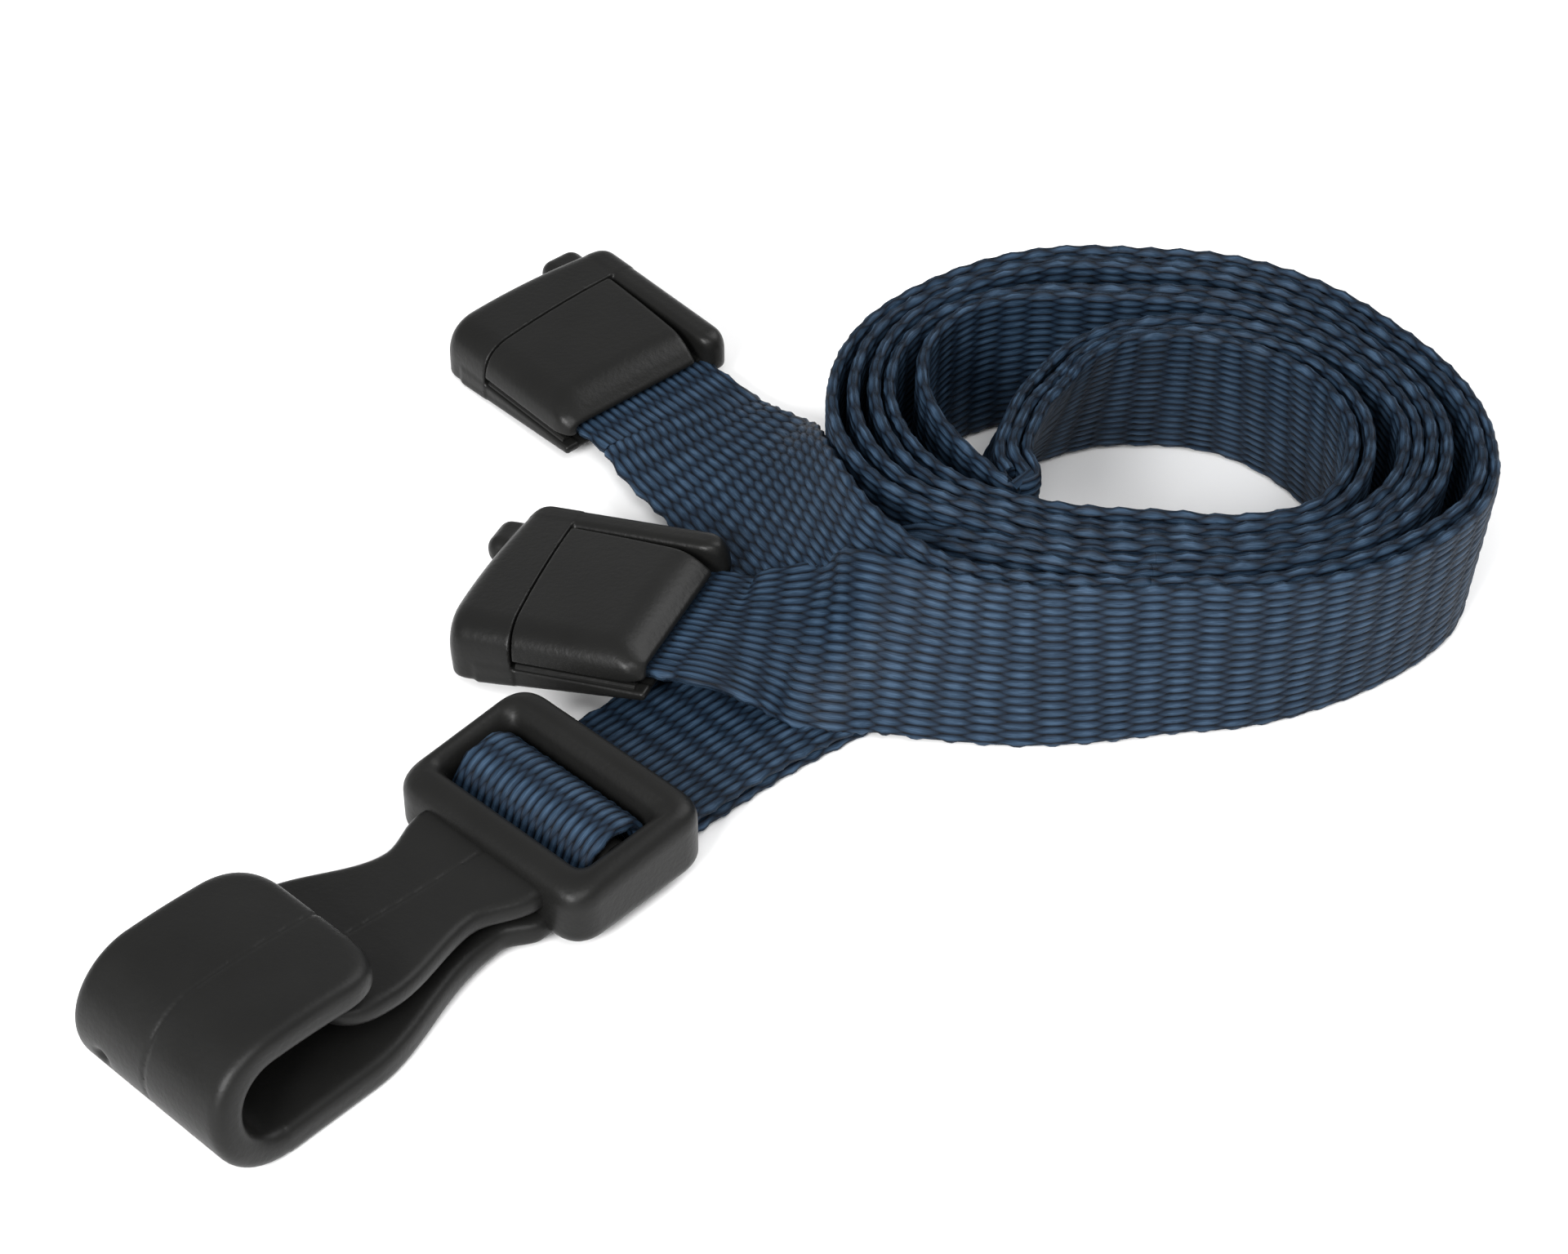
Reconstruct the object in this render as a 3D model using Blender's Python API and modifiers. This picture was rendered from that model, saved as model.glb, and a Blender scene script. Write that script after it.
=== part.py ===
"""A breakaway badge lanyard, put away as a flat coil.

One 10 mm woven ribbon is doubled, wound face to face into an oval coil that
stands on its lower edge, and leaves it at the near left as four strands. Two
of them end in the two halves of a breakaway connector. The other two are the
plies of the strap that runs round the crossbar of a plastic hook.

World: metres, +Z up, the object stands on z = 0. +X runs to the right along
the coil and +Y away from the strands.
"""

import math

import bmesh
import bpy
from mathutils import Matrix, Vector

MM = 0.001
GAP = 0.3 * MM  # clearance between pieces that touch on the real object

# Ribbon
RIBBON_WIDTH = 10.0 * MM
RIBBON_THICKNESS = 0.6 * MM

# Coil, in plan: an oval that leans outwards on its right side
COIL_CENTRE = Vector((20.25, 6.35)) * MM
COIL_RADII = (18.6 * MM, 14.9 * MM)
COIL_TILT = math.radians(-20.0)
COIL_TOP_SHIFT = Vector((0.4, 0.1)) * MM  # half of what the top leans by
HOLE_CENTRE = Vector((21.3, 6.1)) * MM
HOLE_RADII = (8.9 * MM, 8.0 * MM)
TURN_THICKNESS = 3.4 * MM  # four plies

# Connector half: u along it from the ribbon to the free end, v across, w up
HALF_LENGTH = 12.0 * MM
HALF_WIDTH = 12.3 * MM
HALF_HEIGHT = 3.8 * MM
BLOCK_LENGTH = 3.8 * MM
FLOOR_HEIGHT = 0.8 * MM
RAIL_WIDTH = 1.9 * MM
LID_UNDERSIDE = 2.45 * MM
SKIRT_WIDTH = 0.9 * MM
BEAD_RADIUS = 0.3 * MM
BEAD_HEIGHT = 1.35 * MM
RIBBON_HEIGHT = 1.65 * MM  # middle of the ribbon where the lid clamps it
PRONG_SIZE = (1.3 * MM, 2.8 * MM, 1.6 * MM)
SOCKET_SIZE = (3.4 * MM, 3.6 * MM, 1.9 * MM)
MATING_OFFSET = 3.2 * MM  # prong and socket on either side of the middle
STUB_LENGTH = 2.2 * MM  # ribbon that turns with a half before the bend line

# Hook: u along it from the crossbar to the bend of the J, v across, w up
FRAME_LENGTH = 9.4 * MM
FRAME_WIDTH = 13.6 * MM
WINDOW_OFFSET = -0.3 * MM  # the near rail is the thicker one
FRAME_HEIGHT = 4.8 * MM
WINDOW_WIDTH = 10.4 * MM
BAR_WIDTH = 2.2 * MM
CROSSBAR_RADIUS = 1.15 * MM
CROSSBAR_HEIGHT = 2.55 * MM
STRIP_THICKNESS = 1.8 * MM
HOOK_WIDTH = 11.2 * MM
HOOK_HEIGHT = 7.8 * MM
HOOK_END = 26.3 * MM
HOOK_TIP = 15.0 * MM
TONGUE_END = 18.2 * MM
TONGUE_THICKNESS = 1.3 * MM
TIP_SAG = 0.6 * MM  # the tip of the J points down this much
LOOP_LENGTH = 5.9 * MM  # from the crossbar back to where the strap bends

# Where the pieces lie: (x, y, z), heading, pitch and roll
HALF_A_PLACE = ((-7.8, 17.8, 0.0), 131.0, 0.0, 0.0)
HALF_B_PLACE = ((-4.9, -3.7, 1.75), 158.0, -7.0, 4.0)
HOOK_PLACE = ((-11.9, -17.4, 0.0), 226.5, 0.0, 0.0)


# Edges of the four strands in millimetres, after the point where each leaves its end piece
STRAND_A_LOWER = ((-8.2, 9.9, 1.5), (-5.2, 6.6, 1.6), (-2.4, 3.2, 1.9), (-0.3, -0.2, 2.4))
STRAND_A_UPPER = ((-1.3, 16.6, 2.6), (0.1, 12.6, 4.2), (0.7, 8.6, 6.0), (1.2, 5.0, 7.2))
STRAND_B_LOWER = ((-3.0, -8.8, 2.8), (0.2, -9.4, 2.2), (4.0, -9.3, 1.0), (8.5, -9.3, 0.2),
                  (13.5, -9.6, 0.05))
STRAND_B_UPPER = ((0.2, 0.0, 4.6), (2.0, -2.6, 7.0), (4.6, -5.3, 9.2), (8.8, -6.7, 9.8),
                  (13.7, -8.0, 9.95))
STRAP_LOWER = ((-2.2, -14.2, 0.0), (-0.4, -12.7, 0.0), (1.2, -11.5, 0.0))
STRAP_UPPER = ((-9.0, -7.0, 0.0), (-7.0, -5.2, 0.0), (-5.2, -3.8, 0.0))
PLY_HEIGHTS = {"strap_lower_ply": 0.3, "strap_upper_ply": 1.1}

# World origin, under the middle of the whole object
ORIGIN = (2.51, -4.74, 0.0)


def in_metres(point):
    return Vector(point) * MM


# Scene and materials

def clear_scene():
    for obj in list(bpy.data.objects):
        bpy.data.objects.remove(obj, do_unlink=True)


def new_collection(name, hidden=False):
    collection = bpy.data.collections.new(name)
    collection.hide_render = hidden
    bpy.context.scene.collection.children.link(collection)
    return collection


def plain_material(name, colour, roughness):
    material = bpy.data.materials.new(name)
    material.use_nodes = True
    shader = material.node_tree.nodes["Principled BSDF"]
    shader.inputs["Base Color"].default_value = (*colour, 1.0)
    shader.inputs["Roughness"].default_value = roughness
    shader.inputs["Metallic"].default_value = 0.0
    return material


clear_scene()
PARTS = new_collection("lanyard")
CUTTERS = new_collection("cutters", hidden=True)
RIBBON_NAVY = plain_material("ribbon_navy", (0.017, 0.045, 0.102), 0.75)
PLASTIC_BLACK = plain_material("plastic_black", (0.021, 0.021, 0.020), 0.42)


# Building blocks

def place_matrix(place):
    """A frame from a position in millimetres and a heading, pitch and roll in degrees."""
    position, heading, pitch, roll = place
    turn = Matrix.Rotation(math.radians(heading), 4, "Z")
    turn = turn @ Matrix.Rotation(math.radians(-pitch), 4, "Y")
    turn = turn @ Matrix.Rotation(math.radians(roll), 4, "X")
    return Matrix.Translation(Vector(position) * MM) @ turn


def add_frame(name, place, parent=None):
    frame = bpy.data.objects.new(name, None)
    frame.empty_display_size = 5 * MM
    frame.parent = parent
    frame.matrix_local = place_matrix(place)
    PARTS.objects.link(frame)
    return frame


LAYOUT = add_frame("layout", (-Vector(ORIGIN), 0.0, 0.0, 0.0))


def add_object(name, bm, material=None, parent=LAYOUT, origin=(0, 0, 0), collection=PARTS):
    """Make an object of a bmesh. The mesh is given in the parent's frame and origin is in it too."""
    bmesh.ops.translate(bm, vec=-Vector(origin), verts=bm.verts)
    bmesh.ops.recalc_face_normals(bm, faces=bm.faces)
    mesh = bpy.data.meshes.new(name)
    bm.to_mesh(mesh)
    bm.free()
    obj = bpy.data.objects.new(name, mesh)
    obj.location = origin
    obj.parent = parent
    collection.objects.link(obj)
    if material is not None:
        mesh.materials.append(material)
        mesh.shade_smooth()
        mesh.set_sharp_from_angle(angle=math.radians(35))
    return obj


def box_mesh(low, high):
    bm = bmesh.new()
    bmesh.ops.create_cube(bm, size=1.0)
    low, high = Vector(low), Vector(high)
    size = high - low
    bmesh.ops.scale(bm, vec=size, verts=bm.verts)
    bmesh.ops.translate(bm, vec=(low + high) / 2, verts=bm.verts)
    return bm


def cylinder_mesh(radius, length, axis, centre, segments=20):
    """A capped cylinder along the local axis "X" or "Y"."""
    bm = bmesh.new()
    bmesh.ops.create_cone(bm, cap_ends=True, segments=segments,
                          radius1=radius, radius2=radius, depth=length)
    turn = Matrix.Rotation(math.radians(90), 4, "Y" if axis == "X" else "X")
    bmesh.ops.transform(bm, matrix=Matrix.Translation(centre) @ turn, verts=bm.verts)
    return bm


def loft(rings, closed=False):
    """A closed skin through rings of equal length, capped at both ends unless it closes on itself."""
    bm = bmesh.new()
    rows = [[bm.verts.new(point) for point in ring] for ring in rings]
    count = len(rows[0])
    pairs = list(zip(rows, rows[1:]))
    if closed:
        pairs.append((rows[-1], rows[0]))
    for row, following in pairs:
        for i in range(count):
            j = (i + 1) % count
            bm.faces.new((row[i], row[j], following[j], following[i]))
    if not closed:
        bm.faces.new(rows[0])
        bm.faces.new(rows[-1])
    return bm


def bevel(obj, width, segments=3):
    modifier = obj.modifiers.new("rounding", "BEVEL")
    modifier.width = width
    modifier.segments = segments
    modifier.limit_method = "ANGLE"
    modifier.angle_limit = math.radians(40)


def cutter(name, bm, parent):
    obj = add_object(name, bm, parent=parent, collection=CUTTERS)
    obj.hide_render = True
    obj.display_type = "WIRE"
    return obj


def boolean(obj, other, operation="DIFFERENCE"):
    modifier = obj.modifiers.new(other.name, "BOOLEAN")
    modifier.operation = operation
    modifier.object = other
    modifier.solver = "EXACT"


def smooth_curve(points, samples):
    """Points on a Catmull-Rom curve through the given ones."""
    points = [Vector(p) for p in points]
    ends = [2 * points[0] - points[1]] + points + [2 * points[-1] - points[-2]]
    spans = len(points) - 1
    curve = []
    for step in range(samples + 1):
        place = step * spans / samples
        i = min(int(place), spans - 1)
        t = place - i
        a, b, c, d = ends[i:i + 4]
        curve.append(0.5 * (2 * b + (c - a) * t + (2 * a - 5 * b + 4 * c - d) * t ** 2
                            + (3 * b - a - 3 * c + d) * t ** 3))
    return curve


# Ribbon

def ribbon_mesh(lower_edge, upper_edge, samples):
    """A flat closed strip between two edge routes, given in millimetres."""
    lower = smooth_curve([in_metres(p) for p in lower_edge], samples)
    upper = smooth_curve([in_metres(p) for p in upper_edge], samples)
    middle = [(a + b) / 2 for a, b in zip(lower, upper)]
    rings = []
    for i, centre in enumerate(middle):
        ahead = middle[min(i + 1, samples)] - middle[max(i - 1, 0)]
        across = (upper[i] - lower[i]).normalized()
        normal = ahead.cross(across).normalized() * RIBBON_THICKNESS / 2
        half = across * RIBBON_WIDTH / 2
        rings.append([centre - half - normal, centre + half - normal,
                      centre + half + normal, centre - half + normal])
    return loft(rings)


def oval_point(angle, centre, radii, tilt):
    x = radii[0] * math.cos(angle)
    y = radii[1] * math.sin(angle)
    turned = Vector((x * math.cos(tilt) - y * math.sin(tilt),
                     x * math.sin(tilt) + y * math.cos(tilt)))
    return centre + turned


def coil_turn(name, inset_outer, inset_inner, steps=56):
    """A ring of plies between two shares of the way from the outer oval to the hole."""
    rings = []
    for step in range(steps):
        angle = 2 * math.pi * step / steps
        outside = oval_point(angle, COIL_CENTRE, COIL_RADII, COIL_TILT)
        inside = oval_point(angle, HOLE_CENTRE, HOLE_RADII, COIL_TILT)
        inward = (inside - outside)
        wall = inward.length
        inward.normalize()
        outer = outside + inward * inset_outer
        inner = outside + inward * (wall if inset_inner is None else inset_inner)
        shift = COIL_TOP_SHIFT
        rings.append([Vector((*(outer - shift), 0.0)),
                      Vector((*(outer + shift), RIBBON_WIDTH)),
                      Vector((*(inner + shift), RIBBON_WIDTH)),
                      Vector((*(inner - shift), 0.0))])
    return add_object(name, loft(rings, closed=True), RIBBON_NAVY)


def build_coil():
    coil_turn("coil_outer_turn", 0.0, TURN_THICKNESS)
    coil_turn("coil_inner_turn", TURN_THICKNESS + GAP, None)


def bend_line(place, along, middle, height):
    """The near and far ends, in millimetres, of the line across the ribbon where an end piece bends off."""
    near = place_matrix(place) @ Vector((along, middle + RIBBON_WIDTH / 2, height))
    far = place_matrix(place) @ Vector((along, middle - RIBBON_WIDTH / 2, height))
    return near / MM, far / MM


def build_strand(name, place, lower_edge, upper_edge):
    near, far = bend_line(place, -STUB_LENGTH - GAP, 0.0, RIBBON_HEIGHT)
    bm = ribbon_mesh((near, *lower_edge), (far, *upper_edge), 24)
    add_object(name, bm, RIBBON_NAVY)


def build_strap_ply(name, height):
    near, far = bend_line(HOOK_PLACE, -LOOP_LENGTH - GAP, WINDOW_OFFSET, 0.0)
    lift = Vector((0.0, 0.0, height))
    lower = [Vector(point) + lift for point in (near, *STRAP_LOWER)]
    upper = [Vector(point) + lift for point in (far, *STRAP_UPPER)]
    add_object(name, ribbon_mesh(lower, upper, 12), RIBBON_NAVY)


def build_strands():
    build_strand("strand_to_half_a", HALF_A_PLACE, STRAND_A_LOWER, STRAND_A_UPPER)
    build_strand("strand_to_half_b", HALF_B_PLACE, STRAND_B_LOWER, STRAND_B_UPPER)
    for name, height in PLY_HEIGHTS.items():
        build_strap_ply(name, height)


# Connector halves

def build_half(suffix, place):
    frame = add_frame(f"half_{suffix}_frame", place, LAYOUT)
    build_base(suffix, frame)
    build_hinge_web(suffix, frame)
    build_ribbon_end(suffix, frame)
    build_lid(suffix, frame)


def build_base(suffix, frame):
    """Front block with prong and socket, floor under the lid and the rail along the far side."""
    half = HALF_WIDTH / 2
    base = add_object(f"half_{suffix}_base",
                      box_mesh((0, -half, 0), (HALF_LENGTH, half, HALF_HEIGHT)),
                      PLASTIC_BLACK, frame)
    bevel(base, 1.1 * MM, 4)
    block_start = HALF_LENGTH - BLOCK_LENGTH
    lid_bay = box_mesh((-MM, RAIL_WIDTH - half, FLOOR_HEIGHT),
                       (block_start, half + MM, HALF_HEIGHT + MM))
    boolean(base, cutter(f"lid_bay_{suffix}", lid_bay, frame))
    slot_side = RIBBON_WIDTH / 2 + GAP
    ribbon_slot = box_mesh((-MM, -slot_side, FLOOR_HEIGHT),
                           (block_start, 0, LID_UNDERSIDE))
    boolean(base, cutter(f"ribbon_slot_{suffix}", ribbon_slot, frame))
    depth, width, height = SOCKET_SIZE
    middle = HALF_HEIGHT / 2
    socket = box_mesh((HALF_LENGTH - depth, MATING_OFFSET - width / 2, middle - height / 2),
                      (HALF_LENGTH + MM, MATING_OFFSET + width / 2, middle + height / 2))
    boolean(base, cutter(f"socket_{suffix}", socket, frame))
    reach, width, height = PRONG_SIZE
    prong = box_mesh((HALF_LENGTH - MM, -MATING_OFFSET - width / 2, middle - height / 2),
                     (HALF_LENGTH + reach, -MATING_OFFSET + width / 2, middle + height / 2))
    prong = cutter(f"prong_{suffix}", prong, frame)
    bevel(prong, 0.6 * MM, 3)
    boolean(base, prong, "UNION")


def build_hinge_web(suffix, frame):
    """The bead of thin plastic that the lid folds on."""
    start = 0.6 * MM
    length = HALF_LENGTH - BLOCK_LENGTH - 2 * start
    centre = (start + length / 2, HALF_WIDTH / 2 - SKIRT_WIDTH / 2, BEAD_HEIGHT)
    bm = cylinder_mesh(BEAD_RADIUS, length, "X", centre, 12)
    add_object(f"half_{suffix}_living_hinge", bm, PLASTIC_BLACK, frame, centre)


def build_ribbon_end(suffix, frame):
    """The ribbon's end between floor and lid, out to the line it bends on."""
    inside = HALF_LENGTH - BLOCK_LENGTH - 0.8 * MM
    low = (-STUB_LENGTH, -RIBBON_WIDTH / 2, RIBBON_HEIGHT - RIBBON_THICKNESS / 2)
    high = (inside, RIBBON_WIDTH / 2, RIBBON_HEIGHT + RIBBON_THICKNESS / 2)
    add_object(f"half_{suffix}_ribbon_end", box_mesh(low, high), RIBBON_NAVY, frame)


def build_lid(suffix, frame):
    """Top plate with its skirt, folding on the bead along the near side."""
    half = HALF_WIDTH / 2
    start, end = GAP / 2, HALF_LENGTH - BLOCK_LENGTH - GAP
    far = RAIL_WIDTH - half + GAP
    axis = Vector((start, half - SKIRT_WIDTH / 2, BEAD_HEIGHT))
    foot = BEAD_HEIGHT + BEAD_RADIUS + 0.25 * MM
    lid = add_object(f"half_{suffix}_lid",
                     box_mesh((start, far, foot), (end, half, HALF_HEIGHT)),
                     PLASTIC_BLACK, frame, axis)
    bevel(lid, 0.5 * MM, 3)
    hollow = box_mesh((-MM, far - MM, 0), (end + MM, half - SKIRT_WIDTH, LID_UNDERSIDE))
    boolean(lid, cutter(f"lid_hollow_{suffix}", hollow, frame))


# Hook

def slab_ring(u, w, slope, width, thickness):
    """A rounded oblong section across the hook, square to a strip that runs at the given slope."""
    along = Vector((math.cos(slope), 0, math.sin(slope)))
    up = Vector((-along.z, 0, along.x))
    centre = Vector((u, 0, w))
    corner = min(thickness * 0.35, width * 0.2)
    half_v, half_w = width / 2 - corner, thickness / 2 - corner
    ring = []
    for quarter, (side, top) in enumerate(((1, 1), (-1, 1), (-1, -1), (1, -1))):
        for step in range(3):
            angle = math.radians(90 * quarter + 45 * step)
            v = side * half_v + corner * math.cos(angle)
            h = top * half_w + corner * math.sin(angle)
            ring.append(centre + Vector((0, v, 0)) + up * h)
    return ring


def end_width(width, distance, corner):
    """The width of a strip whose end has round corners, a given distance from the end."""
    if distance >= corner:
        return width
    return width - 2 * (corner - math.sqrt(max(corner ** 2 - (corner - distance) ** 2, 0.0)))


def blend(a, b, t):
    t = min(max(t, 0.0), 1.0)
    return a + (b - a) * t * t * (3 - 2 * t)


def build_hook_frame(frame):
    half_length, half_width = FRAME_LENGTH / 2, FRAME_WIDTH / 2
    body = add_object("hook_frame",
                      box_mesh((-half_length, -half_width, 0.3 * MM),
                               (half_length, half_width, FRAME_HEIGHT)),
                      PLASTIC_BLACK, frame)
    bevel(body, 1.5 * MM, 4)
    window_side = WINDOW_OFFSET - WINDOW_WIDTH / 2
    window_other = WINDOW_OFFSET + WINDOW_WIDTH / 2
    window = box_mesh((BAR_WIDTH - half_length, window_side, -MM),
                      (half_length - BAR_WIDTH, window_other, FRAME_HEIGHT + MM))
    boolean(body, cutter("hook_window", window, frame))
    passage = box_mesh((-half_length - MM, window_side, -MM),
                       (0, window_other, CROSSBAR_HEIGHT - 0.1 * MM))
    boolean(body, cutter("strap_passage", passage, frame))


def build_crossbar(frame):
    centre = (0, WINDOW_OFFSET, CROSSBAR_HEIGHT)
    bm = cylinder_mesh(CROSSBAR_RADIUS, WINDOW_WIDTH - 2 * GAP, "Y", centre, 24)
    add_object("hook_crossbar", bm, PLASTIC_BLACK, frame, centre)


def build_shank(frame):
    """The back strip, the round end of the J and its tip over the tongue, in one strip."""
    radius = (HOOK_HEIGHT - STRIP_THICKNESS) / 2
    start = FRAME_LENGTH / 2 + GAP
    bend = HOOK_END - STRIP_THICKNESS / 2 - radius
    level = STRIP_THICKNESS / 2
    waist, shoulder = 8.0 * MM, 17.0 * MM
    rings = []
    for step in range(15):
        u = start + (bend - start) * step / 14
        width = blend(7.4 * MM, HOOK_WIDTH, (u - waist) / (shoulder - waist))
        rings.append(slab_ring(u, level, 0.0, width, STRIP_THICKNESS))
    for step in range(1, 13):
        angle = math.pi * step / 12 - math.pi / 2
        rings.append(slab_ring(bend + radius * math.cos(angle), level + radius + radius * math.sin(angle),
                               angle + math.pi / 2, HOOK_WIDTH, STRIP_THICKNESS))
    top_length = bend - HOOK_TIP
    for step in range(1, 13):
        u = bend - top_length * (1 - (1 - step / 12) ** 1.6)
        width = end_width(HOOK_WIDTH, u - HOOK_TIP + 0.3 * MM, 2.6 * MM)
        sag = TIP_SAG * ((bend - u) / top_length) ** 2
        rings.append(slab_ring(u, level + 2 * radius - sag, math.pi, width, STRIP_THICKNESS))
    add_object("hook_shank", loft(rings), PLASTIC_BLACK, frame)


def build_tongue(frame):
    """The springy gate, from the frame's near bar to under the tip of the J."""
    start = FRAME_LENGTH / 2 + GAP
    tip_underside = HOOK_HEIGHT - STRIP_THICKNESS - TIP_SAG
    low = 3.1 * MM
    high = tip_underside - GAP - TONGUE_THICKNESS / 2
    rings = []
    for step in range(23):
        t = 1 - (1 - step / 22) ** 1.5
        u = start + (TONGUE_END - start) * t
        if t < 0.25:
            width = blend(8.6 * MM, 6.8 * MM, t / 0.25)
        else:
            width = blend(6.8 * MM, 10.8 * MM, (t - 0.25) / 0.5)
        width = end_width(width, TONGUE_END - u + 0.3 * MM, 2.6 * MM)
        rings.append(slab_ring(u, blend(low, high, t), 0.0, width, TONGUE_THICKNESS))
    origin = (start, 0, low)
    add_object("hook_tongue", loft(rings), PLASTIC_BLACK, frame, origin)


def build_hook_loop(frame):
    """The strap's last stretch: under the far bar, round the crossbar and back."""
    wrap = CROSSBAR_RADIUS + RIBBON_THICKNESS / 2 + GAP
    lower, upper = (height * MM for height in PLY_HEIGHTS.values())
    bar_edge = BAR_WIDTH - FRAME_LENGTH / 2
    route = [(-LOOP_LENGTH, upper), (-FRAME_LENGTH / 2, upper), (bar_edge, upper)]
    for degrees in range(135, -91, -25):
        angle = math.radians(degrees)
        route.append((wrap * math.cos(angle), CROSSBAR_HEIGHT + wrap * math.sin(angle)))
    route += [(bar_edge, lower), (-FRAME_LENGTH / 2, lower), (-LOOP_LENGTH, lower)]
    rings = []
    for i, (u, w) in enumerate(route):
        before, after = route[max(i - 1, 0)], route[min(i + 1, len(route) - 1)]
        along = Vector((after[0] - before[0], 0, after[1] - before[1])).normalized()
        out = Vector((-along.z, 0, along.x)) * RIBBON_THICKNESS / 2
        centre, side = Vector((u, WINDOW_OFFSET, w)), Vector((0, RIBBON_WIDTH / 2, 0))
        rings.append([centre - side - out, centre + side - out, centre + side + out, centre - side + out])
    add_object("hook_loop", loft(rings), RIBBON_NAVY, frame)


def build_hook():
    frame = add_frame("hook_place", HOOK_PLACE, LAYOUT)
    build_hook_frame(frame)
    build_crossbar(frame)
    build_shank(frame)
    build_tongue(frame)
    build_hook_loop(frame)


build_coil()
build_strands()
build_half("a", HALF_A_PLACE)
build_half("b", HALF_B_PLACE)
build_hook()
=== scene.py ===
"""The looks of a coiled badge lanyard: one woven ribbon, two connector halves and a hook.

Lengths are in millimetres in the layout frame that part.py uses, whose zero lies ORIGIN away
from the row frame's. to_world() turns them into metres in the row frame.
"""

import math

import bmesh
import bpy
import numpy as np
from mathutils import Matrix, Vector


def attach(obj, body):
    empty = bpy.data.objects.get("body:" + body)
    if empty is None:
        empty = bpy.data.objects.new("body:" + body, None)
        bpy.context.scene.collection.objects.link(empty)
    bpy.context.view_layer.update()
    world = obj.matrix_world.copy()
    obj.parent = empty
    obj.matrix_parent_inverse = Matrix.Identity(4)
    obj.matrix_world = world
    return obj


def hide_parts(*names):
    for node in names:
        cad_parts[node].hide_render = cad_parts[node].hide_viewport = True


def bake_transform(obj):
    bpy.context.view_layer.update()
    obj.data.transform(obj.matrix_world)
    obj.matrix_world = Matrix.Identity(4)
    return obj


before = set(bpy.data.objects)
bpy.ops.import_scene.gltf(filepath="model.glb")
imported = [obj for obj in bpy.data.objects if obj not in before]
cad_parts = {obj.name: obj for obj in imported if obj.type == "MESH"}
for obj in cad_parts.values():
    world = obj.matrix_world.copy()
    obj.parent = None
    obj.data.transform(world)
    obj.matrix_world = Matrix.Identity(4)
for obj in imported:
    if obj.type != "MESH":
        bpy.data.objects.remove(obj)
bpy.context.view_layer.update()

MM = 0.001
ORIGIN = np.array((2.51, -4.74, 0.0))

# Ribbon
WIDTH = 10.0
BODY_THICKNESS = 0.44  # without the floats on either face
RIB_PITCH = 1.65  # along the ribbon, from one column of floats to the next
ROWS = 19
ROW_PITCH = WIDTH / ROWS
FLOAT_HEIGHT = 0.17
FLOAT_REACH = 0.66  # half of a float's length, in rib pitches
FLOAT_SPREAD = 0.51  # half of its width, in row pitches
BACK_SHIFT = 0.25  # the back's floats against the front's, in row pitches
BACK_OFFSET = 3 * WIDTH  # added to the back's place across, which tells the material the face
SELVEDGE = 0.5
LOOP_PITCH = RIB_PITCH / 2  # the stitches along each selvedge
STITCH_HEIGHT = 0.1
SCALLOP = 0.16
EDGE_THINNING = 0.93  # 1 would bring the two faces together at the edge
CUT_ANGLE = 80  # degrees between faces from which an edge is shaded sharp

# Where the end pieces lie: position, heading, pitch and roll
HALF_A_PLACE = ((-7.8, 17.8, 0.0), 131.0, 0.0, 0.0)
HALF_B_PLACE = ((-4.9, -3.7, 1.75), 158.0, -7.0, 4.0)
HOOK_PLACE = ((-11.9, -17.4, 0.0), 226.5, 0.0, 0.0)
RIBBON_IN_HALF = 1.65
WINDOW_OFFSET = -0.3
LOOP_LENGTH = 5.9

# Coil: the distance of each ply's upper edge from COIL_MIDDLE. Plies 0 to 3 are the outer turn
# and 4 to 7 the inner one, so that ply 0 becomes ply 4 after a turn.
COIL_MIDDLE = np.array((20.5, 6.0))
ENTRY, TURN_END, FOLD = -140.0, 220.0, 569.0
PLY_RADII = {
    -140: (16.4, 15.5, 14.6, 13.7, 12.9, 12.0, 11.1, 10.2),
    -120: (15.6, 14.7, 13.8, 12.9, 11.7, 10.7, 9.7, 8.7),
    -105: (14.4, 13.6, 12.8, 12.0, 11.0, 10.0, 9.1, 8.2),
    -90: (13.75, 12.95, 12.15, 11.35, 10.5, 9.7, 8.9, 8.1),
    -60: (15.0, 14.2, 13.3, 12.5, 11.7, 10.9, 10.1, 9.5),
    -45: (16.2, 15.3, 14.3, 13.5, 12.8, 12.1, 11.3, 10.5),
    -20: (18.3, 17.5, 15.4, 14.6, 13.9, 13.1, 11.4, 10.6),
    0: (17.6, 16.9, 15.5, 14.7, 13.9, 13.1, 11.2, 10.3),
    30: (15.7, 14.9, 13.9, 13.1, 12.3, 11.4, 10.2, 9.3),
    60: (15.4, 14.6, 13.7, 12.2, 11.4, 9.9, 9.1, 8.3),
    90: (15.0, 14.3, 13.6, 11.5, 10.7, 8.9, 8.2, 7.5),
    105: (16.0, 15.3, 14.6, 12.0, 11.2, 8.8, 8.1, 7.3),
    120: (16.8, 16.0, 15.1, 13.6, 12.8, 8.4, 7.6, 6.9),
    135: (17.4, 16.6, 15.8, 15.0, 14.2, 8.0, 7.1, 6.4),
    150: (18.1, 17.3, 16.4, 15.5, 14.3, 7.8, 6.9, 6.1),
    165: (18.2, 17.2, 16.1, 15.2, 13.3, 7.9, 7.1, 6.3),
    180: (17.8, 16.6, 15.2, 14.3, 11.9, 8.2, 7.4, 6.7),
    200: (16.2, 15.0, 13.8, 12.7, 10.4, 9.4, 8.7, 8.0),
    220: (12.9, 12.0, 11.1, 10.2, 9.7, 9.2, 8.7, 8.2),
}
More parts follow.
